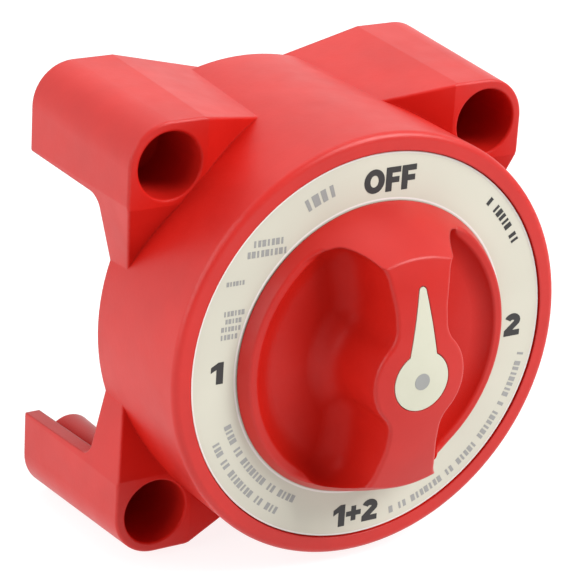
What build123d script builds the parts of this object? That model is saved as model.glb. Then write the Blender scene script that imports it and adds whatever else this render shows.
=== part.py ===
from build123d import *
import os
from math import atan, cos, degrees, radians, sin, sqrt

# Battery selector switch (OFF / 1 / 1+2 / 2), millimetres.
# Frame: X to the right, Z up (OFF at the top), the face looks along -Y.
# The origin is on the spindle's axis in the mounting plane, so every height
# below is a distance in front of that plane, and front_plane(height) is there.

# ---------------------------------------------------------------- driving sizes
# drum and face
LABEL_H = 79.7          # face of the dial label
RIM_H = 80.3            # front of the drum's rim
DRUM_FRONT_R = 62.8
DRUM_BACK_R = 63.15
RIM_ROUND = 2.0
LABEL_R = 57.26
LABEL_BORE_R = 24.0
LABEL_T = 0.5
LABEL_GAP = 0.3         # dark gap round the label's edge
SKIRT_H = 4.1           # back edge of the drum between the legs
WALL = 4.3

# ears, which are also the legs that reach the mounting plane
EAR_H = 54.0            # front face of the ears
EAR_FRONT_HALF = 64.35  # half of the square at the ears' front
EAR_BACK_HALF = 66.5    # and at the mounting plane
EAR_CORNER_R = 12.5
BEND_X = 41.4           # where a side bends inwards to meet the drum
BEND_SLOPE = 0.24
WEB_START_X = 40.4      # where the webs' front starts to fall back
WEB_END_X = 12.0        # the webs end inside the drum
WEB_FALL = 0.365        # how fast the webs' front falls back
WEB_ROOF_H = 40.5       # underside of the webs
EAR_ROOF_H = 49.0       # underside of the ears' corners
EAR_EDGE_ROUND = 0.8

# mounting screws
HOLE_X = 51.8           # half of the mounting pattern
WELL_R = 9.68
WELL_MOUTH_ROUND = 0.7
WELL_FLOOR_H = 30.0
WELL_FLOOR_T = 4.0
SCREW_HOLE_R = 3.4
BOSS_R = 7.7

# cable cut-outs in the left and right sides
CUTOUT_H = 36.8
CUTOUT_BACK_HALF = 40.8
CUTOUT_FRONT_HALF = 39.4
CUTOUT_ROUND = 4.0

# chamber and base
CHAMBER_ROOF_H = 74.7
CHAMBER_R = 55.0
SEAT_R = 58.6
SEAT_H = 44.5
GASKET_T = 1.0
BASE_T = 6.0
BASE_R = 58.3
POST_CIRCLE_R = 50.0
POST_R = 4.5
POST_HOLE_R = 2.0
POST_HOLE_DEEP = 18.0
BASE_SCREW_R = 1.95
BASE_SCREW_HEAD_R = 4.0
BASE_SCREW_HEAD_T = 2.4
BARRIER_T = 3.0
BARRIER_BACK_H = 20.0

# shaft
JOURNAL_R = 8.0
RUNNING_GAP = 0.05
BEARING_R = 13.0
BEARING_BACK_H = 68.5
FLANGE_R = 11.0
FLANGE_H = 67.5
FLANGE_T = 3.0
SQUARE = 11.0
TAIL_R = 5.0
TAIL_END_H = 39.4
TAIL_BORE_H = 39.0
SQUARE_BACK_H = 50.5
HEAD_SQUARE = 10.0
HEAD_H = 92.0
ORING_SECTION_R = 0.7
ORING_H = 76.4
GROOVE_R = 6.6
GROOVE_W = 1.9

# contacts
CONTACT_T = 3.0
CONTACT_GAP = 0.1
PAD_IN_R = 24.0
PAD_OUT_R = 38.0
PAD_START, PAD_END = 160.0, 262.0
RING_IN_R = 10.0
RING_OUT_R = 18.0
STRAP_W = 17.0
SECTOR_HALF_ANGLE = 50.0

# studs, 3/8 inch
STUD_R = 4.76
STUD_CIRCLE_R = 31.0
STUD_1_ANGLE = 211.0
STUD_2_ANGLE = 329.0
COMMON_ANGLE = 90.0
STUD_END_H = 10.0
STUD_CHAMFER = 0.9
RELIEF_R = 4.4          # thread relief under each nut
RELIEF_BACK_H = 25.0
RELIEF_W = 0.9
WASHER_R = 9.2
WASHER_T = 1.6
LOCK_R = 8.1
LOCK_T = 2.3
NUT_FLATS = 14.3
NUT_T = 8.3

# carrier and detent
CARRIER_R = 34.0
CARRIER_BACK_H = 52.0
CARRIER_FRONT_H = 62.0
NOTCH_DEEP = 3.2
SPRING_T = 0.8
SPRING_W = 7.0
SPRING_KNEE = (5.0, 37.2)
SPRING_END = (23.0, 42.6)
SPRING_CURL_R = 2.9
SPRING_PIN_R = 2.45
DETENT_GAP = 0.25
SPRING_CIRCLE_R = 25.0

# knob
KNOB_BASE_R = 43.3
KNOB_GAP = 0.35
KNOB_TOP_H = LABEL_H + 25.8
RIDGE_R = 33.9
RIDGE_H = LABEL_H + 20.1
SIDE_BULGE = 0.3
SCOOP_R = 40.7
SCOOP_CORNER_R = 8.0
SCOOP_FLOOR_H = 81.3
SCOOP_FLOOR_ROUND = 7.5
GRIP_HALF = 8.3
GRIP_END_HALF = 10.4
GRIP_END_Z = 31.0
GRIP_KNEE_Z = 20.0
GRIP_KNEE_ROUND = 20.0
HUB_R = 14.6
HUB_BLEND = 7.6
LIP_H = LABEL_H + 4.4     # the scoops open through the knob's sides above this
LIP_BLEND = 4.5
POINTER_HUB_R = 8.6
POINTER_NECK = (4.3, 7.4)
POINTER_TIP_Z = 26.4
POINTER_TIP_R = 1.15
POINTER_T = 2.2
POINTER_GAP = 0.2
POINTER_SKETCH_H = 95.0
KNOB_EDGE_ROUND = 1.1
LIP_ROUND = 1.0
CORE_HALF = 5.2
CORE_START_Z = 9.5
CORE_END_Z = 29.0
CORE_ROOF_H = 96.0
KNOB_SCREW_SEAT_H = 95.0
KNOB_SCREW_SEAT_R = 5.2
KNOB_SCREW_R = 2.45
KNOB_SCREW_HEAD_T = 3.0
KNOB_WASHER_T = 1.0


def front_plane(height):
    """A sketch plane facing the front, with X to the right and Z up."""
    return Plane.XZ.offset(height)


def polar(radius, angle):
    """A point on the face at an angle from +X towards +Z."""
    return (radius * cos(radians(angle)), radius * sin(radians(angle)))


def finish(built, label):
    """Name a finished piece and write it."""
    built.part.label = label
    export_step(built.part, f"parts/{label}.step")


os.makedirs("parts", exist_ok=True)

BASE_FRONT_H = SEAT_H - GASKET_T
BASE_BACK_H = BASE_FRONT_H - BASE_T
CONTACT_TOP_H = BASE_FRONT_H + CONTACT_T
MOVING_BACK_H = CONTACT_TOP_H + CONTACT_GAP
MOVING_FRONT_H = MOVING_BACK_H + CONTACT_T
STUDS = [polar(STUD_CIRCLE_R, angle) for angle in (STUD_1_ANGLE, STUD_2_ANGLE, COMMON_ANGLE)]
CORNERS = [(HOLE_X, HOLE_X), (-HOLE_X, HOLE_X), (-HOLE_X, -HOLE_X), (HOLE_X, -HOLE_X)]
POSTS = [polar(POST_CIRCLE_R, angle) for angle in (45, 135, 225, 315)]


# ---------------------------------------------------------------- housing
def ears_outline(half_side):
    """The outline of all four ears: a square whose sides bend in towards the drum."""
    dip = half_side - BEND_SLOPE * (BEND_X - WEB_END_X)
    side = [(-BEND_X, half_side), (-WEB_END_X, dip), (WEB_END_X, dip), (BEND_X, half_side)]
    side.append((half_side, half_side))
    turns = [(1, 0), (0, 1), (-1, 0), (0, -1)]
    points = [(x * c + z * s, z * c - x * s) for c, s in turns for x, z in side]
    Polygon(*points, align=None)


def round_corners(sketch, radius):
    """Round the four corners of an ears outline."""
    fillet(sketch.vertices().sort_by_distance((0, 0))[-4:], radius)


with BuildPart() as leg_space:
    with BuildSketch(front_plane(0)) as leg_space_back:
        ears_outline(EAR_BACK_HALF)
        round_corners(leg_space_back, EAR_CORNER_R)
        Circle(DRUM_BACK_R)
        offset(amount=-WALL, mode=Mode.REPLACE)
    extrude(amount=EAR_ROOF_H, taper=degrees(atan((EAR_BACK_HALF - EAR_FRONT_HALF) / EAR_H)))

with BuildPart() as ear_pockets:
    add(leg_space.part)
    with BuildSketch(front_plane(WEB_ROOF_H)):
        Rectangle(2 * BEND_X, 3 * BEND_X * 2)
        Rectangle(3 * BEND_X * 2, 2 * BEND_X)
    extrude(amount=EAR_H, mode=Mode.SUBTRACT)
    with BuildSketch(front_plane(CUTOUT_H)):
        Circle(DRUM_BACK_R)
    extrude(amount=EAR_H, mode=Mode.SUBTRACT)

with BuildPart() as housing:
    with BuildSketch(front_plane(0)) as ears_back:
        ears_outline(EAR_BACK_HALF)
        round_corners(ears_back, EAR_CORNER_R)
    with BuildSketch(front_plane(EAR_H)) as ears_front:
        ears_outline(EAR_FRONT_HALF)
        round_corners(ears_front, EAR_CORNER_R)
    loft(ruled=True)
    # the webs' front falls back towards the drum on all four sides
    web_back = EAR_H - WEB_FALL * (WEB_START_X - WEB_END_X)
    web_cut = [(-WEB_START_X, EAR_H), (-WEB_END_X, web_back), (WEB_END_X, web_back), (WEB_START_X, EAR_H)]
    with BuildSketch(Plane.XY):
        Polygon(*[(x, -height) for x, height in web_cut], align=None)
    extrude(amount=2 * HOLE_X, both=True, mode=Mode.SUBTRACT)
    with BuildSketch(Plane.YZ):
        Polygon(*[(-height, z) for z, height in web_cut], align=None)
    extrude(amount=2 * HOLE_X, both=True, mode=Mode.SUBTRACT)
    # one ear is rounded along its front edges, then mirrored to all four
    split(bisect_by=Plane.YZ.offset(WEB_END_X), keep=Keep.TOP)
    split(bisect_by=Plane.XY.offset(WEB_END_X), keep=Keep.TOP)
    front_edges = [edge for face in housing.faces() if face.normal_at().Y < -0.5 for edge in face.edges()]
    outer_edges = [edge for edge in front_edges if front_edges.count(edge) == 1]
    inner_ends = housing.faces().group_by(Axis.X)[0].edges() + housing.faces().group_by(Axis.Z)[0].edges()
    fillet([edge for edge in outer_edges if edge not in inner_ends], EAR_EDGE_ROUND)
    mirror(about=Plane.YZ)
    mirror(about=Plane.XY)
    # the drum
    with BuildSketch(front_plane(SKIRT_H)):
        Circle(DRUM_BACK_R)
    extrude(amount=RIM_H - SKIRT_H, taper=degrees(atan((DRUM_BACK_R - DRUM_FRONT_R) / (RIM_H - SKIRT_H))))
    fillet(housing.faces().sort_by(Axis.Y)[0].edges(), RIM_ROUND)
    # open the back: the legs, then the seat and the chamber
    add(ear_pockets.part, mode=Mode.SUBTRACT)
    with BuildSketch(front_plane(CUTOUT_H)):
        Circle(SEAT_R)
    extrude(amount=SEAT_H - CUTOUT_H, mode=Mode.SUBTRACT)
    with BuildSketch(front_plane(SEAT_H)):
        Circle(CHAMBER_R)
    extrude(amount=CHAMBER_ROOF_H - SEAT_H, mode=Mode.SUBTRACT)
    # cable cut-outs through both sides
    with BuildSketch(Plane.YZ) as cutout:
        Polygon(
            (1, CUTOUT_BACK_HALF),
            (-CUTOUT_H, CUTOUT_FRONT_HALF),
            (-CUTOUT_H, -CUTOUT_FRONT_HALF),
            (1, -CUTOUT_BACK_HALF),
            align=None,
        )
        fillet(cutout.vertices().group_by(Axis.X)[0], CUTOUT_ROUND)
    extrude(amount=2 * HOLE_X, both=True, mode=Mode.SUBTRACT)
    # screw wells in the ears, with a boss behind each
    with BuildSketch(front_plane(WELL_FLOOR_H - WELL_FLOOR_T)):
        with Locations(*CORNERS):
            Circle(EAR_CORNER_R - 0.2)
    extrude(amount=EAR_ROOF_H + 1 - WELL_FLOOR_H + WELL_FLOOR_T)
    with BuildSketch(front_plane(0)):
        with Locations(*CORNERS):
            Circle(BOSS_R)
    extrude(amount=WELL_FLOOR_H)
    with BuildSketch(front_plane(WELL_FLOOR_H)):
        with Locations(*CORNERS):
            Circle(WELL_R)
    extrude(amount=EAR_H, mode=Mode.SUBTRACT)
    mouths = housing.edges().filter_by(GeomType.CIRCLE).filter_by_position(Axis.Y, -EAR_H - 0.01, -EAR_H + 0.01)
    fillet(mouths.filter_by(lambda edge: edge.radius < WELL_R + 0.01), WELL_MOUTH_ROUND)
    with BuildSketch(front_plane(0)):
        with Locations(*CORNERS):
            Circle(SCREW_HOLE_R)
    extrude(amount=EAR_H, mode=Mode.SUBTRACT)
    # posts for the base screws
    with BuildSketch(front_plane(BASE_FRONT_H)):
        with Locations(*POSTS):
            Circle(POST_R)
    extrude(amount=CHAMBER_ROOF_H + 1 - BASE_FRONT_H)
    with BuildSketch(front_plane(BASE_FRONT_H)):
        with Locations(*POSTS):
            Circle(POST_HOLE_R)
    extrude(amount=POST_HOLE_DEEP, mode=Mode.SUBTRACT)
    # bearing for the shaft
    with BuildSketch(front_plane(BEARING_BACK_H)):
        Circle(BEARING_R)
    extrude(amount=CHAMBER_ROOF_H + 1 - BEARING_BACK_H)
    with BuildSketch(front_plane(BEARING_BACK_H)):
        Circle(JOURNAL_R + RUNNING_GAP)
    extrude(amount=RIM_H, mode=Mode.SUBTRACT)
    # pins for the ends of the detent springs
    pin_x = SPRING_END[0] - SPRING_CURL_R
    arm_slope = (SPRING_END[1] - SPRING_KNEE[1]) / (SPRING_END[0] - SPRING_KNEE[0])
    pin_z = SPRING_END[1] - arm_slope * SPRING_CURL_R + SPRING_CURL_R * sqrt(1 + arm_slope**2)
    with BuildSketch(front_plane(CARRIER_BACK_H)):
        with Locations((pin_x, pin_z), (-pin_x, pin_z), (pin_x, -pin_z), (-pin_x, -pin_z)):
            Circle(SPRING_PIN_R)
    extrude(amount=CHAMBER_ROOF_H + 1 - CARRIER_BACK_H)
    # recess for the label
    with BuildSketch(front_plane(LABEL_H - LABEL_T)):
        Circle(LABEL_R + LABEL_GAP)
    extrude(amount=RIM_H, mode=Mode.SUBTRACT)
finish(housing, "housing")


# ---------------------------------------------------------------- dial label
with BuildPart() as dial_label:
    with BuildSketch(front_plane(LABEL_H - LABEL_T)):
        Circle(LABEL_R)
        Circle(LABEL_BORE_R, mode=Mode.SUBTRACT)
    extrude(amount=LABEL_T)
finish(dial_label, "dial_label")

# ---------------------------------------------------------------- base plate
with BuildPart() as base_plate:
    with BuildSketch(front_plane(BASE_BACK_H)):
        Circle(BASE_R)
        with Locations(*STUDS):
            Circle(STUD_R, mode=Mode.SUBTRACT)
        with Locations(*POSTS):
            Circle(POST_HOLE_R + 0.2, mode=Mode.SUBTRACT)
    extrude(amount=BASE_T)
    # barriers between the terminals, on the back
    with BuildSketch(front_plane(BARRIER_BACK_H)):
        for angle in (150, 270, 30):
            with Locations(Location(polar(STUD_CIRCLE_R, angle), angle)):
                RectangleRounded(1.2 * STUD_CIRCLE_R, BARRIER_T, BARRIER_T / 2 - 0.1)
    extrude(amount=BASE_BACK_H - BARRIER_BACK_H)
    # blind bearing for the shaft's tail
    with BuildSketch(front_plane(TAIL_BORE_H)):
        Circle(TAIL_R + RUNNING_GAP)
    extrude(amount=BASE_T, mode=Mode.SUBTRACT)
finish(base_plate, "base_plate")

with BuildPart() as base_gasket:
    with BuildSketch(front_plane(BASE_FRONT_H)):
        Circle(BASE_R)
        Circle(CHAMBER_R + 0.3, mode=Mode.SUBTRACT)
    extrude(amount=GASKET_T)
finish(base_gasket, "base_gasket")

with BuildPart() as base_screws:
    with BuildSketch(front_plane(BASE_BACK_H)):
        with Locations(*POSTS):
            Circle(BASE_SCREW_R)
    extrude(amount=BASE_T + POST_HOLE_DEEP - 2)
    with BuildSketch(front_plane(BASE_BACK_H - BASE_SCREW_HEAD_T)):
        with Locations(*POSTS):
            Circle(BASE_SCREW_HEAD_R)
    extrude(amount=BASE_SCREW_HEAD_T)
    fillet(base_screws.faces().group_by(Axis.Y)[-1].edges(), 0.8)
    # cross recess
    with BuildSketch(front_plane(BASE_BACK_H - BASE_SCREW_HEAD_T)):
        with Locations(*POSTS):
            Rectangle(4.2, 0.9)
            Rectangle(0.9, 4.2)
    extrude(amount=1.4, mode=Mode.SUBTRACT)
finish(base_screws, "base_screws")


# ---------------------------------------------------------------- fixed contacts
def ring_sector(inner, outer, start, end):
    """A flat ring sector between two angles."""
    with BuildSketch() as sector:
        with BuildLine():
            CenterArc((0, 0), outer, start, end - start)
            CenterArc((0, 0), inner, start, end - start)
            Line(polar(inner, start), polar(outer, start))
            Line(polar(inner, end), polar(outer, end))
        make_face()
    return sector.sketch


def fixed_contact(start, end, stud):
    """An arc-shaped pad lying on the base plate, with a hole for its stud."""
    with BuildPart() as pad:
        with BuildSketch(front_plane(BASE_FRONT_H)) as outline:
            add(ring_sector(PAD_IN_R, PAD_OUT_R, start, end))
            fillet(outline.vertices(), 2.5)
            with Locations(stud):
                Circle(STUD_R, mode=Mode.SUBTRACT)
        extrude(amount=CONTACT_T)
        chamfer(pad.faces().sort_by(Axis.Y)[0].outer_wire().edges(), 0.5)
    return pad


finish(fixed_contact(PAD_START, PAD_END, STUDS[0]), "fixed_contact_1")
finish(fixed_contact(540 - PAD_END, 540 - PAD_START, STUDS[1]), "fixed_contact_2")

with BuildPart() as common_contact:
    with BuildSketch(front_plane(BASE_FRONT_H)):
        Circle(RING_OUT_R)
        with Locations((0, STUD_CIRCLE_R / 2)):
            Rectangle(STRAP_W, STUD_CIRCLE_R)
        with Locations(STUDS[2]):
            Circle(STRAP_W / 2)
            Circle(STUD_R, mode=Mode.SUBTRACT)
        Circle(RING_IN_R, mode=Mode.SUBTRACT)
    extrude(amount=CONTACT_T)
finish(common_contact, "common_contact")


# ---------------------------------------------------------------- terminals
def terminal_stud(place):
    """A 3/8 inch stud with a chamfered end and a relief groove, set in its contact."""
    with BuildPart() as stud:
        with BuildSketch(front_plane(STUD_END_H)):
            with Locations(place):
                Circle(STUD_R)
        extrude(amount=CONTACT_TOP_H - 0.5 - STUD_END_H)
        chamfer(stud.faces().sort_by(Axis.Y)[-1].edges(), STUD_CHAMFER)
        with BuildSketch(front_plane(RELIEF_BACK_H)):
            with Locations(place):
                Circle(STUD_R + 1)
                Circle(RELIEF_R, mode=Mode.SUBTRACT)
        extrude(amount=RELIEF_W, mode=Mode.SUBTRACT)
    return stud


finish(terminal_stud(STUDS[0]), "terminal_stud_1")
finish(terminal_stud(STUDS[1]), "terminal_stud_2")
finish(terminal_stud(STUDS[2]), "common_stud")

WASHER_BACK_H = BASE_BACK_H - WASHER_T
LOCK_BACK_H = WASHER_BACK_H - LOCK_T
NUT_BACK_H = LOCK_BACK_H - NUT_T

with BuildPart() as flat_washers:
    with BuildSketch(front_plane(WASHER_BACK_H)):
        with Locations(*STUDS):
            Circle(WASHER_R)
            Circle(STUD_R + 0.1, mode=Mode.SUBTRACT)
    extrude(amount=WASHER_T)
finish(flat_washers, "flat_washers")

with BuildPart() as lock_washers:
    with BuildSketch(front_plane(LOCK_BACK_H)):
        with Locations(*STUDS):
            Circle(LOCK_R)
            Circle(STUD_R + 0.1, mode=Mode.SUBTRACT)
        with Locations(*[(x + LOCK_R - 1, z) for x, z in STUDS]):
            Rectangle(2 * LOCK_R - 4, 0.8, rotation=18, mode=Mode.SUBTRACT)
    extrude(amount=LOCK_T)
finish(lock_washers, "lock_washers")

with BuildPart() as terminal_nuts:
    with BuildSketch(front_plane(NUT_BACK_H)):
        with Locations(*STUDS):
            RegularPolygon(NUT_FLATS / 2, 6, major_radius=False)
            Circle(STUD_R + 0.02, mode=Mode.SUBTRACT)
    extrude(amount=NUT_T)
    # corners rounded off by a cone at both ends
    for stud in STUDS:
        with BuildSketch(Plane.XY.offset(stud[1])) as corner_cut:
            with Locations((stud[0], 0)):
                Polygon(
                    (NUT_FLATS / 2, -NUT_BACK_H),
                    (NUT_FLATS, -NUT_BACK_H),
                    (NUT_FLATS, -NUT_BACK_H - NUT_FLATS / 4),
                    align=None,
                )
        revolve(axis=Axis((stud[0], 0, stud[1]), (0, 1, 0)), mode=Mode.SUBTRACT)
finish(terminal_nuts, "terminal_nuts")

# ---------------------------------------------------------------- shaft
with BuildPart() as drive_shaft:
    with BuildSketch(front_plane(TAIL_END_H)):
        Circle(TAIL_R)
    extrude(amount=SQUARE_BACK_H - TAIL_END_H)
    with BuildSketch(front_plane(SQUARE_BACK_H)):
        RectangleRounded(SQUARE, SQUARE, 1)
    extrude(amount=FLANGE_H - FLANGE_T - SQUARE_BACK_H)
    with BuildSketch(front_plane(FLANGE_H - FLANGE_T)):
        Circle(FLANGE_R)
    extrude(amount=FLANGE_T)
    with BuildSketch(front_plane(FLANGE_H)):
        Circle(JOURNAL_R)
    extrude(amount=LABEL_H - FLANGE_H)
    with BuildSketch(front_plane(LABEL_H)):
        RectangleRounded(HEAD_SQUARE, HEAD_SQUARE, 1)
    extrude(amount=HEAD_H - LABEL_H)
    # groove for the O-ring and tapped hole for the knob's screw
    with BuildSketch(front_plane(ORING_H - GROOVE_W / 2)):
        Circle(JOURNAL_R + 1)
        Circle(GROOVE_R, mode=Mode.SUBTRACT)
    extrude(amount=GROOVE_W, mode=Mode.SUBTRACT)
    with BuildSketch(front_plane(HEAD_H - 15)):
        Circle(KNOB_SCREW_R + 0.05)
    extrude(amount=15, mode=Mode.SUBTRACT)
finish(drive_shaft, "drive_shaft")

with BuildPart() as shaft_o_ring:
    with BuildSketch(Plane.XY):
        with Locations((GROOVE_R + ORING_SECTION_R, -ORING_H)):
            Circle(ORING_SECTION_R)
    revolve(axis=Axis.Y)
finish(shaft_o_ring, "shaft_o_ring")

with BuildPart() as thrust_washer:
    with BuildSketch(front_plane(FLANGE_H)):
        Circle(FLANGE_R)
        Circle(JOURNAL_R + 0.1, mode=Mode.SUBTRACT)
    extrude(amount=BEARING_BACK_H - FLANGE_H - CONTACT_GAP)
finish(thrust_washer, "thrust_washer")

# ---------------------------------------------------------------- carrier
SPRING_PLACES = [polar(SPRING_CIRCLE_R, COMMON_ANGLE + turn) for turn in (-36, 0, 36)]
SPRING_PLACES.append((0, 4 - RING_OUT_R))
POCKET_R = 4.2
POCKET_DEEP = 6.0
NOTCH_HALF_ANGLE = 9.0

with BuildPart() as contact_carrier:
    with BuildSketch(front_plane(CARRIER_BACK_H)) as carrier_outline:
        Circle(CARRIER_R)
        for angle in (0, 90, 180, 270):
            tip = polar(CARRIER_R - NOTCH_DEEP, angle)
            sides = [polar(CARRIER_R + 1, angle + turn) for turn in (-NOTCH_HALF_ANGLE, NOTCH_HALF_ANGLE)]
            Polygon(tip, *sides, align=None, mode=Mode.SUBTRACT)
        RectangleRounded(SQUARE + 0.2, SQUARE + 0.2, 1, mode=Mode.SUBTRACT)
    extrude(amount=CARRIER_FRONT_H - CARRIER_BACK_H)
    with BuildSketch(front_plane(CARRIER_BACK_H)):
        with Locations(*SPRING_PLACES):
            Circle(POCKET_R)
    extrude(amount=POCKET_DEEP, mode=Mode.SUBTRACT)
    # lugs that turn the moving contact
    with BuildSketch(front_plane(MOVING_FRONT_H - 2)):
        with Locations((9.5, 0), (-9.5, 0)):
            Rectangle(3, 5)
    extrude(amount=CARRIER_BACK_H - MOVING_FRONT_H + 2)
finish(contact_carrier, "contact_carrier")

with BuildPart() as moving_contact:
    with BuildSketch(front_plane(MOVING_BACK_H)):
        Circle(RING_OUT_R)
        fan_start = COMMON_ANGLE - SECTOR_HALF_ANGLE
        add(ring_sector(RING_OUT_R - 6, PAD_OUT_R - 0.5, fan_start, fan_start + 2 * SECTOR_HALF_ANGLE))
        Circle(TAIL_R + 0.5, mode=Mode.SUBTRACT)
        with Locations((9.5, 0), (-9.5, 0)):
            Rectangle(3.4, 5.4, mode=Mode.SUBTRACT)
    extrude(amount=CONTACT_T)
finish(moving_contact, "moving_contact")

SPRING_R = 3.2
WIRE_R = 0.45
SPRING_TURNS = 4
with BuildPart() as contact_springs:
    spring_len = CARRIER_BACK_H + POCKET_DEEP - MOVING_FRONT_H - 2 * WIRE_R
    for x, z in SPRING_PLACES:
        with BuildLine() as coil:
            foot = (x, -MOVING_FRONT_H - WIRE_R, z)
            Helix(spring_len / SPRING_TURNS, spring_len, SPRING_R, center=foot, direction=(0, -1, 0))
        with BuildSketch(Plane(coil.line @ 0, z_dir=coil.line % 0)):
            Circle(WIRE_R)
        sweep(path=coil.line, is_frenet=True)
finish(contact_springs, "contact_springs")

# ---------------------------------------------------------------- detent springs
with BuildPart() as detent_springs:
    nose = CARRIER_R - NOTCH_DEEP + DETENT_GAP
    knee_x, knee_z = SPRING_KNEE
    end_x, end_z = SPRING_END
    with BuildSketch(front_plane(CARRIER_BACK_H + 1.5)) as leaf:
        with BuildLine():
            FilletPolyline(
                (-end_x, end_z + 2 * SPRING_CURL_R),
                (-end_x, end_z),
                (-knee_x, knee_z),
                (0, nose),
                (knee_x, knee_z),
                (end_x, end_z),
                (end_x, end_z + 2 * SPRING_CURL_R),
                radius=[SPRING_CURL_R, 1.5, 1.2, 1.5, SPRING_CURL_R],
            )
        trace(line_width=SPRING_T)
        mirror(about=Plane.XZ)
    extrude(amount=SPRING_W)
finish(detent_springs, "detent_springs")

# ---------------------------------------------------------------- knob
DOME_RISE = KNOB_TOP_H - RIDGE_H
DOME_R = (RIDGE_R**2 + DOME_RISE**2) / (2 * DOME_RISE)
DOME_CENTRE = (0, DOME_R - KNOB_TOP_H, 0)
KNOB_BASE_H = LABEL_H + KNOB_GAP


def draw_pointer(gap):
    """Draw the pointer's outline: a round hub that tapers to a rounded tip."""
    neck_x, neck_z = POINTER_NECK
    Circle(POINTER_HUB_R + gap)
    tip_z = POINTER_TIP_Z - POINTER_TIP_R
    with Locations((0, tip_z)):
        Circle(POINTER_TIP_R + gap)
    Polygon(
        (-neck_x - gap, neck_z),
        (-POINTER_TIP_R - gap, tip_z),
        (POINTER_TIP_R + gap, tip_z),
        (neck_x + gap, neck_z),
        align=None,
    )


far_z = SCOOP_R + 5
far_half = GRIP_HALF + (GRIP_END_HALF - GRIP_HALF) * (far_z - GRIP_KNEE_Z) / (GRIP_END_Z - GRIP_KNEE_Z)
grip_side = [(GRIP_HALF, GRIP_KNEE_Z), (far_half, far_z)]
grip_outline = [(x * a, z * b) for a, b, order in ((1, 1, 1), (-1, 1, -1), (-1, -1, 1), (1, -1, -1))
                for x, z in grip_side[::order]]
SCOOP_END_X = GRIP_END_HALF + SCOOP_CORNER_R
SCOOP_END_Z = sqrt((SCOOP_R - SCOOP_CORNER_R) ** 2 - SCOOP_END_X**2) + SCOOP_CORNER_R

with BuildSketch() as grip_plan:
    Polygon(*grip_outline, align=None)
    fillet(grip_plan.vertices().sort_by_distance((0, 0))[:4], GRIP_KNEE_ROUND)
    Circle(HUB_R)
    fillet(grip_plan.vertices().sort_by_distance((0, 0))[:4], HUB_BLEND)

with BuildPart() as scoops:
    with BuildSketch(front_plane(SCOOP_FLOOR_H)) as scoop_outline:
        Circle(SCOOP_R)
        add(grip_plan.sketch, mode=Mode.SUBTRACT)
        fillet(scoop_outline.vertices().sort_by_distance((0, 0))[-4:], SCOOP_CORNER_R)
    extrude(amount=KNOB_TOP_H + 5 - SCOOP_FLOOR_H)
    fillet(scoops.faces().group_by(Axis.Y)[-1].edges(), SCOOP_FLOOR_ROUND)

# everything above the scoops' lips, between the two ends of each scoop
with BuildPart() as side_cuts:
    with BuildSketch(front_plane(LIP_H)):
        side_x = SCOOP_END_X + KNOB_BASE_R
        with Locations((side_x, 0), (-side_x, 0)):
            Rectangle(2 * KNOB_BASE_R, 2 * SCOOP_END_Z)
    extrude(amount=2 * RIDGE_R)
    fillet(side_cuts.faces().group_by(Axis.Y)[-1].edges().filter_by(Axis.X), LIP_BLEND)

with BuildPart() as pointer_pocket:
    with BuildSketch(front_plane(POINTER_SKETCH_H)):
        draw_pointer(POINTER_GAP)
    extrude(amount=KNOB_TOP_H)
    with Locations(DOME_CENTRE):
        Sphere(DOME_R - POINTER_T, mode=Mode.SUBTRACT)

with BuildPart() as knob:
    with BuildSketch(Plane.XY):
        with BuildLine():
            Line((0, -KNOB_BASE_H), (KNOB_BASE_R, -KNOB_BASE_H))
            SagittaArc((KNOB_BASE_R, -KNOB_BASE_H), (RIDGE_R, -RIDGE_H), SIDE_BULGE)
            RadiusArc((RIDGE_R, -RIDGE_H), (0, -KNOB_TOP_H), DOME_R)
            Line((0, -KNOB_TOP_H), (0, -KNOB_BASE_H))
        make_face()
    revolve(axis=Axis.Y)
    add(scoops.part, mode=Mode.SUBTRACT)
    add(side_cuts.part, mode=Mode.SUBTRACT)
    # socket for the shaft, hole and seat for the screw
    with BuildSketch(front_plane(0)):
        RectangleRounded(HEAD_SQUARE + 0.1, HEAD_SQUARE + 0.1, 1)
    extrude(amount=HEAD_H + 0.2, mode=Mode.SUBTRACT)
    with BuildSketch(front_plane(HEAD_H)):
        Circle(KNOB_SCREW_R + 0.3)
    extrude(amount=KNOB_TOP_H, mode=Mode.SUBTRACT)
    with BuildSketch(front_plane(KNOB_SCREW_SEAT_H)):
        Circle(KNOB_SCREW_SEAT_R)
    extrude(amount=KNOB_TOP_H, mode=Mode.SUBTRACT)
    # the grip is cored out from below
    with BuildSketch(front_plane(0)):
        core_z = (CORE_END_Z + CORE_START_Z) / 2
        with Locations((0, core_z), (0, -core_z)):
            RectangleRounded(2 * CORE_HALF, CORE_END_Z - CORE_START_Z, 2)
    extrude(amount=CORE_ROOF_H, mode=Mode.SUBTRACT)
    # round the crown's outer edge and both edges of each lip
    fillet(knob.faces().sort_by(Axis.Y)[0].outer_wire().edges(), KNOB_EDGE_ROUND)
    lip_edges = knob.edges().filter_by_position(Axis.Y, -LIP_H - 0.01, -LIP_H + 0.01)
    fillet([edge for edge in lip_edges if edge.length > SCOOP_R / 2], LIP_ROUND)
    # pocket for the pointer
    add(pointer_pocket.part, mode=Mode.SUBTRACT)
finish(knob, "knob")

with BuildPart() as pointer_insert:
    with BuildSketch(front_plane(POINTER_SKETCH_H)):
        draw_pointer(0)
    extrude(amount=KNOB_TOP_H)
    with Locations(DOME_CENTRE):
        Sphere(DOME_R, mode=Mode.INTERSECT)
        Sphere(DOME_R - POINTER_T + POINTER_GAP / 2, mode=Mode.SUBTRACT)
finish(pointer_insert, "pointer_insert")

KNOB_SCREW_HEAD_H = KNOB_SCREW_SEAT_H + KNOB_WASHER_T

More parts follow.
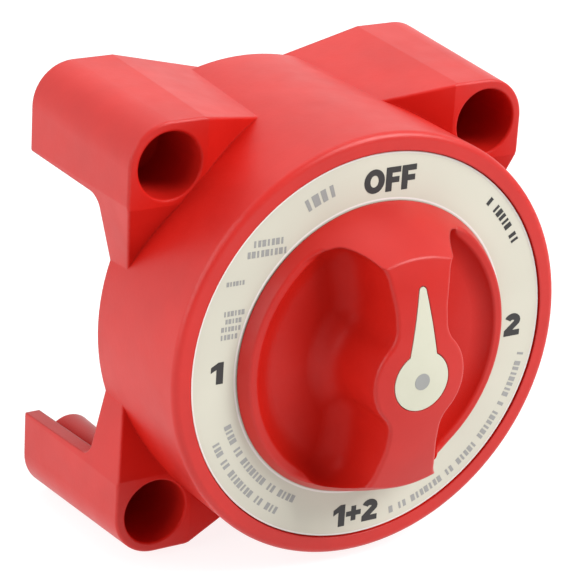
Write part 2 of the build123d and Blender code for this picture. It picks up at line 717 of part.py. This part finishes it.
with BuildPart() as knob_washer:
    with BuildSketch(front_plane(KNOB_SCREW_SEAT_H)):
        Circle(KNOB_SCREW_SEAT_R - 0.3)
        Circle(KNOB_SCREW_R + 0.1, mode=Mode.SUBTRACT)
    extrude(amount=KNOB_WASHER_T)
finish(knob_washer, "knob_washer")

with BuildPart() as knob_screw:
    with BuildSketch(front_plane(HEAD_H - 12)):
        Circle(KNOB_SCREW_R)
    extrude(amount=KNOB_SCREW_HEAD_H - HEAD_H + 12)
    with BuildSketch(front_plane(KNOB_SCREW_HEAD_H)):
        Circle(KNOB_SCREW_SEAT_R - 0.6)
    extrude(amount=KNOB_SCREW_HEAD_T)
    fillet(knob_screw.faces().sort_by(Axis.Y)[0].edges(), 0.9)
    with BuildSketch(front_plane(KNOB_SCREW_HEAD_H + KNOB_SCREW_HEAD_T)):
        Rectangle(4.6, 1.0)
        Rectangle(1.0, 4.6)
    extrude(amount=-1.6, mode=Mode.SUBTRACT)
finish(knob_screw, "knob_screw")
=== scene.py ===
from math import ceil, cos, radians, sin, tau

import bpy
from mathutils import Matrix, Vector


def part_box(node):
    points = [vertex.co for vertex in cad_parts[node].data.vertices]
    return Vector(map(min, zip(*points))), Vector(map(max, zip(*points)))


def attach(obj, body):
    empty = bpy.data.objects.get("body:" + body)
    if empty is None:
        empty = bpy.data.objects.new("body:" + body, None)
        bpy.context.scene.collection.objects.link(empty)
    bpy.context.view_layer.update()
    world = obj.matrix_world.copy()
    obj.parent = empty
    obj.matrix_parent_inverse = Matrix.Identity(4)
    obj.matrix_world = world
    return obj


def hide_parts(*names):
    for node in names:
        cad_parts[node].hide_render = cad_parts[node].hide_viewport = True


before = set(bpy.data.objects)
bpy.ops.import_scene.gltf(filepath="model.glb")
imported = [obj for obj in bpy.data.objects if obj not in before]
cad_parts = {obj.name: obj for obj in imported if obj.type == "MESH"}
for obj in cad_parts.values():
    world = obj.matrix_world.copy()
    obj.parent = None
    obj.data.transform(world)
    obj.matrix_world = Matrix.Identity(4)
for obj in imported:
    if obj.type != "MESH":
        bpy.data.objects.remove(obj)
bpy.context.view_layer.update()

MM = 0.001
BODY = "switch_body"
ROTOR = "rotor"

# ---------------------------------------------------------------- sizes read from the frame
LABEL_FACE_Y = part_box("dial_label")[0].y
DIAL_CENTRE = Vector((0, LABEL_FACE_Y, 0))
POINTER_FACE_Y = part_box("pointer_insert")[0].y
BASE_BACK_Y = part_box("flat_washers")[0].y
FLOOR_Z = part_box("housing")[0].z


# ---------------------------------------------------------------- materials
def new_material(name):
    """A material with its Principled shader, its node maker and the object's own coordinates."""
    material = bpy.data.materials.new(name)
    material.use_nodes = True
    nodes = material.node_tree.nodes
    shader = nodes["Principled BSDF"]
    coordinates = nodes.new("ShaderNodeTexCoord").outputs["Object"]
    return material, nodes, shader, coordinates


def noise(nodes, links, coordinates, scale, detail, roughness=0.5):
    """A noise texture's value at a scale in cycles per metre."""
    texture = nodes.new("ShaderNodeTexNoise")
    texture.inputs["Scale"].default_value = scale
    texture.inputs["Detail"].default_value = detail
    texture.inputs["Roughness"].default_value = roughness
    links.new(coordinates, texture.inputs["Vector"])
    return texture.outputs["Fac"]


# the part of a noise value's range over which a colour changes
RAMP_START = 0.3
RAMP_END = 0.7


def colour_ramp(nodes, links, value, low, high):
    """Turns a value into a colour between two colours."""
    ramp = nodes.new("ShaderNodeValToRGB")
    ramp.color_ramp.elements[0].position = RAMP_START
    ramp.color_ramp.elements[0].color = (*low, 1)
    ramp.color_ramp.elements[1].position = RAMP_END
    ramp.color_ramp.elements[1].color = (*high, 1)
    links.new(value, ramp.inputs["Fac"])
    return ramp.outputs["Color"]


def value_range(nodes, links, value, low, high):
    """Maps a value from 0..1 to low..high."""
    mapper = nodes.new("ShaderNodeMapRange")
    mapper.inputs["To Min"].default_value = low
    mapper.inputs["To Max"].default_value = high
    links.new(value, mapper.inputs["Value"])
    return mapper.outputs["Result"]


def bump(nodes, links, height, distance, normal=None):
    """A bump of a height value, laid over another bump if one is given."""
    node = nodes.new("ShaderNodeBump")
    node.inputs["Distance"].default_value = distance
    links.new(height, node.inputs["Height"])
    if normal:
        links.new(normal, node.inputs["Normal"])
    return node.outputs["Normal"]


# noise scales are in cycles per metre
FLOW_SCALE = 38
GLOSS_SPOT_SCALE = 140
GLOSS_SPREAD = 0.07
WAVE_SCALE = 55
WAVE_DEPTH = 0.10 * MM
GRAIN_SCALE = 900
GRAIN_DEPTH = 0.02 * MM
PLAIN_SHEEN = 0.5
# painted shade: the red mouldings' sheen is dimmed by ambient occlusion where little of the space within
# this reach is open
PAINTED_SHADE_REACH = 30 * MM
PAINTED_SHADE_OPENNESS = 0.65
HOLLOW_PAINTED_SHADE_SHEEN = 0.05


def soft_edges(nodes, radius):
    """A normal that is rounded over the edges of the mesh by a radius."""
    bevel = nodes.new("ShaderNodeBevel")
    bevel.samples = 4
    bevel.inputs["Radius"].default_value = radius
    return bevel.outputs["Normal"]


def sheen_with_painted_shade(nodes, links, sheen):
    """A sheen dimmed by ambient occlusion in deep hollows: painted shade on the reflections."""
    hollows = nodes.new("ShaderNodeAmbientOcclusion")
    hollows.samples = 6
    hollows.only_local = True
    hollows.inputs["Distance"].default_value = PAINTED_SHADE_REACH
    openness = nodes.new("ShaderNodeMapRange")
    openness.inputs["From Min"].default_value = PAINTED_SHADE_OPENNESS
    openness.inputs["From Max"].default_value = 1.0
    openness.inputs["To Min"].default_value = HOLLOW_PAINTED_SHADE_SHEEN * sheen
    openness.inputs["To Max"].default_value = sheen
    links.new(hollows.outputs["AO"], openness.inputs["Value"])
    return openness.outputs["Result"]


def moulded_plastic(name, dark, light, roughness, edge_round=0.0, sheen=PLAIN_SHEEN):
    """Moulded plastic: flow mottling in the colour, a fine grain, soft waviness, softened edges and, with
    them, a sheen with painted shade in hollows.
    """
    material, nodes, shader, coordinates = new_material(name)
    links = material.node_tree.links
    flow = noise(nodes, links, coordinates, FLOW_SCALE, 5.0, 0.6)
    links.new(colour_ramp(nodes, links, flow, dark, light), shader.inputs["Base Color"])
    spots = noise(nodes, links, coordinates, GLOSS_SPOT_SCALE, 4.0)
    gloss = value_range(nodes, links, spots, roughness - GLOSS_SPREAD, roughness + GLOSS_SPREAD)
    links.new(gloss, shader.inputs["Roughness"])
    edges = soft_edges(nodes, edge_round) if edge_round else None
    waves = bump(nodes, links, noise(nodes, links, coordinates, WAVE_SCALE, 1.0), WAVE_DEPTH, edges)
    grain = bump(nodes, links, noise(nodes, links, coordinates, GRAIN_SCALE, 2.0), GRAIN_DEPTH, waves)
    links.new(grain, shader.inputs["Normal"])
    # with softened edges the sheen also carries painted shade: it is dimmed in hollows by ambient
    # occlusion
    if edge_round:
        links.new(sheen_with_painted_shade(nodes, links, sheen), shader.inputs["Specular IOR Level"])
    else:
        shader.inputs["Specular IOR Level"].default_value = sheen
    return material


FILM_TONE_SCALE = 25
FILM_GRAIN_SCALE = 2200
FILM_GRAIN_DEPTH = 0.006 * MM


def printed_film(name, dark, light, roughness):
    """Printed plastic film: nearly flat colour, a faint satin grain."""
    material, nodes, shader, coordinates = new_material(name)
    links = material.node_tree.links
    tone = noise(nodes, links, coordinates, FILM_TONE_SCALE, 2.0)
    links.new(colour_ramp(nodes, links, tone, dark, light), shader.inputs["Base Color"])
    grain = noise(nodes, links, coordinates, FILM_GRAIN_SCALE, 1.0)
    links.new(bump(nodes, links, grain, FILM_GRAIN_DEPTH), shader.inputs["Normal"])
    shader.inputs["Roughness"].default_value = roughness
    return material


TARNISH_SCALE = 120
METAL_MARK_SCALE = 900
METAL_MARK_DEPTH = 0.01 * MM
METAL_SMOOTHER = 0.08
METAL_ROUGHER = 0.1


def metal(name, dark, light, roughness):
    """Metal with fine marks and slight tarnish."""
    material, nodes, shader, coordinates = new_material(name)
    links = material.node_tree.links
    shader.inputs["Metallic"].default_value = 1.0
    tarnish = noise(nodes, links, coordinates, TARNISH_SCALE, 4.0)
    links.new(colour_ramp(nodes, links, tarnish, dark, light), shader.inputs["Base Color"])
    marks = noise(nodes, links, coordinates, METAL_MARK_SCALE, 2.0)
    gloss = value_range(nodes, links, marks, roughness - METAL_SMOOTHER, roughness + METAL_ROUGHER)
    links.new(gloss, shader.inputs["Roughness"])
    links.new(bump(nodes, links, marks, METAL_MARK_DEPTH), shader.inputs["Normal"])
    return material


RED_CASE = moulded_plastic(
    "red_case", (0.44, 0.0095, 0.0060), (0.52, 0.0130, 0.0085), 0.40, edge_round=0.8 * MM, sheen=0.40
)
RED_KNOB = moulded_plastic(
    "red_knob", (0.41, 0.0090, 0.0055), (0.47, 0.0120, 0.0070), 0.38, edge_round=0.6 * MM, sheen=0.34
)
BLACK_MOULDING = moulded_plastic("black_moulding", (0.018, 0.018, 0.020), (0.03, 0.03, 0.032), 0.5)
WHITE_NYLON = moulded_plastic("white_nylon", (0.62, 0.61, 0.56), (0.70, 0.69, 0.65), 0.45)
POINTER_CREAM = moulded_plastic("pointer_cream", (0.49, 0.48, 0.375), (0.53, 0.52, 0.415), 0.4)
LABEL_CREAM = printed_film("label_cream", (0.500, 0.485, 0.405), (0.55, 0.535, 0.445), 0.5)
LABEL_WHITE = printed_film("label_white", (0.68, 0.64, 0.61), (0.72, 0.68, 0.65), 0.45)
INK = printed_film("ink", (0.014, 0.013, 0.013), (0.022, 0.020, 0.020), 0.55)
SMALL_INK = printed_film("small_ink", (0.25, 0.25, 0.24), (0.30, 0.30, 0.29), 0.55)
SEAL_RUBBER = moulded_plastic("seal_rubber", (0.012, 0.012, 0.012), (0.02, 0.02, 0.02), 0.7)
COPPER = metal("copper", (0.62, 0.30, 0.18), (0.80, 0.44, 0.28), 0.34)
BRASS = metal("brass", (0.66, 0.46, 0.18), (0.82, 0.62, 0.30), 0.3)
STEEL = metal("steel", (0.48, 0.48, 0.47), (0.66, 0.66, 0.64), 0.3)

NODE_MATERIALS = {
    "housing": RED_CASE,
    "dial_label": LABEL_CREAM,
    "knob": RED_KNOB,
    "pointer_insert": POINTER_CREAM,
    "knob_washer": STEEL,
    "knob_screw": STEEL,
    "drive_shaft": BRASS,
    "shaft_o_ring": SEAL_RUBBER,
    "thrust_washer": WHITE_NYLON,
    "contact_carrier": BLACK_MOULDING,
    "moving_contact": COPPER,
    "contact_springs": STEEL,
    "detent_springs": STEEL,
    "common_contact": COPPER,
    "fixed_contact_1": COPPER,
    "fixed_contact_2": COPPER,
    "common_stud": COPPER,
    "terminal_stud_1": COPPER,
    "terminal_stud_2": COPPER,
    "flat_washers": STEEL,
    "lock_washers": STEEL,
    "terminal_nuts": STEEL,
    "base_plate": BLACK_MOULDING,
    "base_gasket": SEAL_RUBBER,
    "base_screws": STEEL,
}
for node, material in NODE_MATERIALS.items():
    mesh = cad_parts[node].data
    mesh.materials.clear()
    mesh.materials.append(material)


# ---------------------------------------------------------------- mesh helpers
def new_piece(name, vertices, faces, material, body, smooth=False):
    """A mesh piece that rides on a body."""
    mesh = bpy.data.meshes.new(name)
    mesh.from_pydata([tuple(v) for v in vertices], [], faces)
    mesh.materials.append(material)
    mesh.validate()
    mesh.polygons.foreach_set("use_smooth", [smooth] * len(mesh.polygons))
    piece = bpy.data.objects.new(name, mesh)
    bpy.context.scene.collection.objects.link(piece)
    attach(piece, body)
    return piece


def polar(radius, angle):
    """A point on the dial at an angle in degrees from +X towards +Z."""
    return (radius * cos(radians(angle)), radius * sin(radians(angle)))


# ---------------------------------------------------------------- print and raised marks
PRINT_T = 0.06 * MM


def flat_shapes(name, outlines, face_y, rise, material, body):
    """Thin shapes that stand out of a flat face by a rise along Y, each an outline in millimetres."""
    vertices = []
    faces = []
    for outline in outlines:
        start = len(vertices)
        count = len(outline)
        vertices += [(x * MM, face_y + rise, z * MM) for x, z in outline]
        vertices += [(x * MM, face_y, z * MM) for x, z in outline]
        faces.append([start + i for i in range(count)])
        faces.append([start + count + i for i in reversed(range(count))])
        for i in range(count):
            j = (i + 1) % count
            faces.append([start + j, start + i, start + count + i, start + count + j])
    return new_piece(name, vertices, faces, material, body)


def print_on_label(name, outlines, material, thickness=PRINT_T):
    """Printed shapes on the dial label."""
    piece = flat_shapes(name, outlines, LABEL_FACE_Y, -thickness, material, BODY)


def band(path, width):
    """The quads of a line of one width along a path of points."""
    points = [Vector(p) for p in path]
    sides = []
    for i, point in enumerate(points):
        before = points[max(i - 1, 0)]
        after = points[min(i + 1, len(points) - 1)]
        along = (after - before).normalized()
        across = Vector((-along.y, along.x)) * width / 2
        sides.append((point + across, point - across))
    return [[low[1], high[1], high[0], low[0]] for low, high in zip(sides, sides[1:])]


def moved(outlines, x, z, wide=1.0, high=1.0):
    """Outlines stretched and then moved."""
    return [[(x + px * wide, z + pz * high) for px, pz in outline] for outline in outlines]


def oval(half_wide, half_high, start, end, steps):
    """Points along an oval between two angles in degrees."""
    angles = [radians(start + (end - start) * i / steps) for i in range(steps + 1)]
    return [(half_wide * cos(a), half_high * sin(a)) for a in angles]


MARK_HIGH = 6.6
MIDDLE = MARK_HIGH / 2
OVAL_STEPS = 40
# each glyph: its outlines, which stand on height 0, and its width, in millimetres
GLYPHS = {
    "O": (
        [
            [(3.2 * cos(a), MIDDLE + 3.3 * sin(a)), (3.2 * cos(b), MIDDLE + 3.3 * sin(b)),
             (1.3 * cos(b), MIDDLE + 1.6 * sin(b)), (1.3 * cos(a), MIDDLE + 1.6 * sin(a))]
            for a, b in [(tau * i / OVAL_STEPS, tau * (i + 1) / OVAL_STEPS) for i in range(OVAL_STEPS)]
        ],
        6.4,
    ),
    "F": (
        [[(-2.3, 0), (-0.35, 0), (-0.35, 2.3), (1.95, 2.3), (1.95, 3.9), (-0.35, 3.9), (-0.35, 5.0),
          (2.3, 5.0), (2.3, 6.6), (-2.3, 6.6)]],
        4.6,
    ),
    "1": ([[(-0.2, 0), (1.8, 0), (1.8, 6.6), (0.3, 6.6), (-1.8, 5.3), (-1.8, 3.6), (-0.2, 4.5)]], 3.6),
    "2": (
        moved(band(oval(1.5, 1.2, 165, -28, 12), 1.9), 0, 4.4)
        + [[(-2.4, 1.65), (0.2, 1.65), (2.19, 3.44), (0.46, 4.23)]]
        + [[(-2.4, 0), (2.4, 0), (2.4, 1.65), (-2.4, 1.65)]],
        4.8,
    ),
    "+": (
        [[(-0.75, 1.1), (0.75, 1.1), (0.75, 2.6), (2.3, 2.6), (2.3, 4.1), (0.75, 4.1), (0.75, 5.6),
          (-0.75, 5.6), (-0.75, 4.1), (-2.3, 4.1), (-2.3, 2.6), (-0.75, 2.6)]],
        4.6,
    ),
}
# the switch's positions on the label: text, left edge, foot, width, height
MARKS = {
    "mark_off": ("OFF", -6.1, 45.8, 16.9, 7.0),
    "mark_1": ("1", -51.3, -2.4, 3.9, 6.4),
    "mark_2": ("2", 45.9, -4.6, 5.4, 7.0),
    "mark_1_and_2": ("1+2", -8.5, -54.4, 14.9, 6.8),
}
LETTER_GAP = 0.4
for name, (text, left, foot, width, height) in MARKS.items():
    plain_width = sum(GLYPHS[letter][1] for letter in text) + LETTER_GAP * (len(text) - 1)
    wide = width / plain_width
    outlines = []
    x = left
    for letter in text:
        shapes, letter_width = GLYPHS[letter]
        outlines += moved(shapes, x + letter_width * wide / 2, foot, wide, height / MARK_HIGH)
        x += (letter_width + LETTER_GAP) * wide
    print_on_label(name, outlines, INK)


# half the narrowest tick, the steps up from it and the pitches, as shares of the row's height
NARROWEST_TICK = 0.16
TICK_STEP = 0.07
TICK_PITCH = 0.74
WORD_GAP = 1.4


def tick_spans(length, height, seed, words=True):
    """Where the ticks of a row start and end along a length, in word-like groups or evenly."""
    spans = []
    place = 0.0
    i = seed
    while place < length:
        half = height * (NARROWEST_TICK + TICK_STEP * ((i * 7) % 3))
        spans.append((place - half, place + half))
        gap_after = words and (i % 7 == 3 or i % 11 == 8)
        place += height * (WORD_GAP if gap_after else TICK_PITCH)
        i += 1
    return spans


# rows of plain ticks that carry no words: radius, first and last angle, height, material, seed
ARC_ROWS = {
    "tick_row_low_left_inner": (47.8, 199.5, 242.0, 2.2, SMALL_INK, 5),
    "tick_row_low_left_outer": (52.7, 203.0, 239.0, 2.2, SMALL_INK, 6),
    "tick_row_low_right": (53.6, 282.0, 350.0, 2.2, SMALL_INK, 8),
    "tick_row_top_right": (52.9, 28.5, 48.0, 2.5, INK, 18),
    "tick_row_top_left": (51.0, 108.5, 122.0, 3.6, SMALL_INK, 0),
}
for name, (radius, start, end, height, material, seed) in ARC_ROWS.items():
    turn = 360 / (tau * radius)
    ticks = []
    for first, last in tick_spans((end - start) / turn, height, seed):
        a = start + first * turn
        b = start + last * turn
        inner = radius - height / 2
        outer = radius + height / 2
        ticks.append([polar(inner, b), polar(inner, a), polar(outer, a), polar(outer, b)])
    print_on_label(name, ticks, material)

# level rows of plain ticks: left, right, middle, height
LEVEL_ROWS = [
    (-39.6, -30.4, 36.5, 1.9),
    (-41.3, -29.0, 33.6, 1.9),
    (-47.4, -42.4, 26.2, 1.3),
    (-47.8, -42.2, 17.7, 1.5),
    (-47.2, -42.8, 15.5, 1.4),
    (-48.3, -43.0, 13.3, 1.4),
    (-48.5, -43.6, 11.0, 1.5),
]
for i, (left, right, middle, height) in enumerate(LEVEL_ROWS):
    low = middle - height / 2
    high = middle + height / 2
    ticks = [
        [(left + a, low), (left + b, low), (left + b, high), (left + a, high)]
        for a, b in tick_spans(right - left, height, i, words=False)
    ]
    print_on_label(f"tick_row_level_{i + 1}", ticks, SMALL_INK)

# white border lines round the label's two edges
BORDER_STEPS = 180
BORDER_ANGLES = [360 * i / BORDER_STEPS for i in range(BORDER_STEPS + 1)]
for name, inner, outer in (("label_border_outer", 56.75, 57.2), ("label_border_inner", 43.6, 44.1)):
    ring = [
        [polar(outer, a), polar(outer, b), polar(inner, b), polar(inner, a)]
        for a, b in zip(BORDER_ANGLES, BORDER_ANGLES[1:])
    ]
    print_on_label(name, ring, LABEL_WHITE, PRINT_T / 2)

# a plain dot in the middle of the pointer's hub
DOT_R = 2.4
DOT_STEPS = 48
DOT_SUNK = 0.05 * MM
DOT_T = 0.09 * MM
dot = [polar(DOT_R, 360 * i / DOT_STEPS) for i in range(DOT_STEPS)]
dot_piece = flat_shapes("pointer_dot", [dot], POINTER_FACE_Y + DOT_SUNK, -DOT_T, SMALL_INK, ROTOR)

# raised numbers beside the two battery terminals, read from behind
RAISED = 0.5 * MM
RAISED_SCALE = 1.1
RAISED_FOOT = -33.6
for name, glyph, x in (("base_number_1", "1", -26.6), ("base_number_2", "2", 26.6)):
    outlines = [
        [(x - px * RAISED_SCALE, RAISED_FOOT + pz * RAISED_SCALE) for px, pz in outline]
        for outline in GLYPHS[glyph][0]
    ]
    number = flat_shapes(name, outlines, BASE_BACK_Y, RAISED, BLACK_MOULDING, BODY)


# ---------------------------------------------------------------- threaded studs
THREAD_PITCH = 1.5875 * MM
THREAD_DEPTH = 0.62 * MM
THREAD_END_Y = -37.0 * MM
STUD_END_ROUND = 0.9 * MM
STEPS_ROUND = 40
STEPS_PER_PITCH = 8
# the slope of the thread's flanks, and how far its groove keeps the full depth
GROOVE_SLOPE = 1.3
GROOVE_FULL = 1.15


def threaded_stud(node):
    """A stud with its rolled thread: a grid wrapped round the axis and pushed in along a helix."""
    low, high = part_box(node)
    centre_x = (low.x + high.x) / 2
    centre_z = (low.z + high.z) / 2
    crest = (high.x - low.x) / 2
    rows = ceil((high.y - low.y) / (THREAD_PITCH / STEPS_PER_PITCH))
    vertices = []
    for row in range(rows + 1):
        y = high.y + (low.y - high.y) * row / rows
        for k in range(STEPS_ROUND):
            turn = k / STEPS_ROUND
            phase = (y / THREAD_PITCH + turn) % 1
            depth = THREAD_DEPTH * min(1.0, max(0.0, GROOVE_FULL - abs(2 * phase - 1) * GROOVE_SLOPE))
            fade = min(1.0, max(0.0, (y - THREAD_END_Y) / THREAD_PITCH))
            radius = min(crest - depth * fade, crest - STUD_END_ROUND + (high.y - y))
            vertices.append((centre_x + radius * cos(tau * turn), y, centre_z + radius * sin(tau * turn)))
    faces = []
    for row in range(rows):
        for k in range(STEPS_ROUND):
            a = row * STEPS_ROUND + k
            b = row * STEPS_ROUND + (k + 1) % STEPS_ROUND
            faces.append((a, b, b + STEPS_ROUND, a + STEPS_ROUND))
    faces.append(list(reversed(range(STEPS_ROUND))))
    faces.append([rows * STEPS_ROUND + k for k in range(STEPS_ROUND)])
    piece = new_piece(node + "_threaded", vertices, faces, COPPER, BODY, smooth=True)
    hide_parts(node)


for node in ("common_stud", "terminal_stud_1", "terminal_stud_2"):
    threaded_stud(node)


# ---------------------------------------------------------------- floor, light and camera
def area_light(name, place, size, power):
    """A soft square white light at a place, aimed at the origin."""
    data = bpy.data.lights.new(name, "AREA")
    data.shape = "SQUARE"
    data.size = size
    data.energy = power
    light = bpy.data.objects.new(name, data)
    light.location = place
    light.rotation_euler = (-Vector(place)).to_track_quat("-Z", "Y").to_euler()
    bpy.context.scene.collection.objects.link(light)


# a pale floor with a glow of its own, so that it stays white beside the red mouldings
FLOOR_SIZE = 6.0
FLOOR_COLOUR = (0.24, 0.245, 0.245, 1)
FLOOR_ROUGHNESS = 0.9
FLOOR_GLOW = 0.85
half = FLOOR_SIZE / 2
floor_mesh = bpy.data.meshes.new("floor")
floor_mesh.from_pydata(
    [(-half, -half, FLOOR_Z), (half, -half, FLOOR_Z), (half, half, FLOOR_Z), (-half, half, FLOOR_Z)],
    [],
    [(0, 1, 2, 3)],
)
floor_material = bpy.data.materials.new("floor")
floor_material.use_nodes = True
floor_shader = floor_material.node_tree.nodes["Principled BSDF"]
floor_shader.inputs["Base Color"].default_value = FLOOR_COLOUR
floor_shader.inputs["Roughness"].default_value = FLOOR_ROUGHNESS
floor_shader.inputs["Emission Color"].default_value = (1, 1, 1, 1)
floor_shader.inputs["Emission Strength"].default_value = FLOOR_GLOW
floor_mesh.materials.append(floor_material)
floor = bpy.data.objects.new("floor", floor_mesh)
bpy.context.scene.collection.objects.link(floor)

# a white studio that is bright behind the object and dimmer in front of it
STUDIO_FRONT = 0.36
STUDIO_BACK = 1.10
world = bpy.data.worlds.new("studio")
world.use_nodes = True
world_nodes = world.node_tree.nodes
world_links = world.node_tree.links
facing = world_nodes.new("ShaderNodeVectorMath")
facing.operation = "DOT_PRODUCT"
facing.inputs[1].default_value = (0.0, 1.0, 0.0)
world_links.new(world_nodes.new("ShaderNodeTexCoord").outputs["Generated"], facing.inputs[0])
studio = world_nodes.new("ShaderNodeMapRange")
studio.inputs["From Min"].default_value = -0.5
studio.inputs["From Max"].default_value = 0.5
studio.inputs["To Min"].default_value = STUDIO_FRONT
studio.inputs["To Max"].default_value = STUDIO_BACK
world_links.new(facing.outputs["Value"], studio.inputs["Value"])
world_links.new(studio.outputs["Result"], world_nodes["Background"].inputs["Strength"])
world_nodes["Background"].inputs["Color"].default_value = (1, 1, 1, 1)
bpy.context.scene.world = world
# place and side in metres, power in watts
area_light("key", (0.72, -0.85, 1.0), 0.8, 25)
area_light("top", (0.1, 0.35, 1.3), 1.0, 4)
area_light("left", (-1.2, -0.05, 0.45), 0.9, 8)

# the photograph's viewing angle
CAMERA_AZIMUTH = radians(-32.62)
CAMERA_ELEVATION = radians(21.68)
CAMERA_ROLL = radians(3.55)
CAMERA_DISTANCE = 735.4 * MM
CAMERA_SIDE = 22.98 * MM
CAMERA_RISE = -16.54 * MM
CAMERA_LENS = 165.34

back = Vector(
    (
        sin(CAMERA_AZIMUTH) * cos(CAMERA_ELEVATION),
        -cos(CAMERA_AZIMUTH) * cos(CAMERA_ELEVATION),
        sin(CAMERA_ELEVATION),
    )
)
level = Vector((0, 0, 1)).cross(back).normalized()
upward = back.cross(level)
right = cos(CAMERA_ROLL) * level + sin(CAMERA_ROLL) * upward
up = -sin(CAMERA_ROLL) * level + cos(CAMERA_ROLL) * upward
camera_data = bpy.data.cameras.new("camera")
camera_data.lens = CAMERA_LENS
camera = bpy.data.objects.new("camera", camera_data)
place = DIAL_CENTRE - right * CAMERA_SIDE - up * CAMERA_RISE + back * CAMERA_DISTANCE
camera.matrix_world = Matrix.Translation(place) @ Matrix((right, up, back)).transposed().to_4x4()
bpy.context.scene.collection.objects.link(camera)
bpy.context.scene.camera = camera
bpy.context.scene.view_settings.view_transform = "Standard"
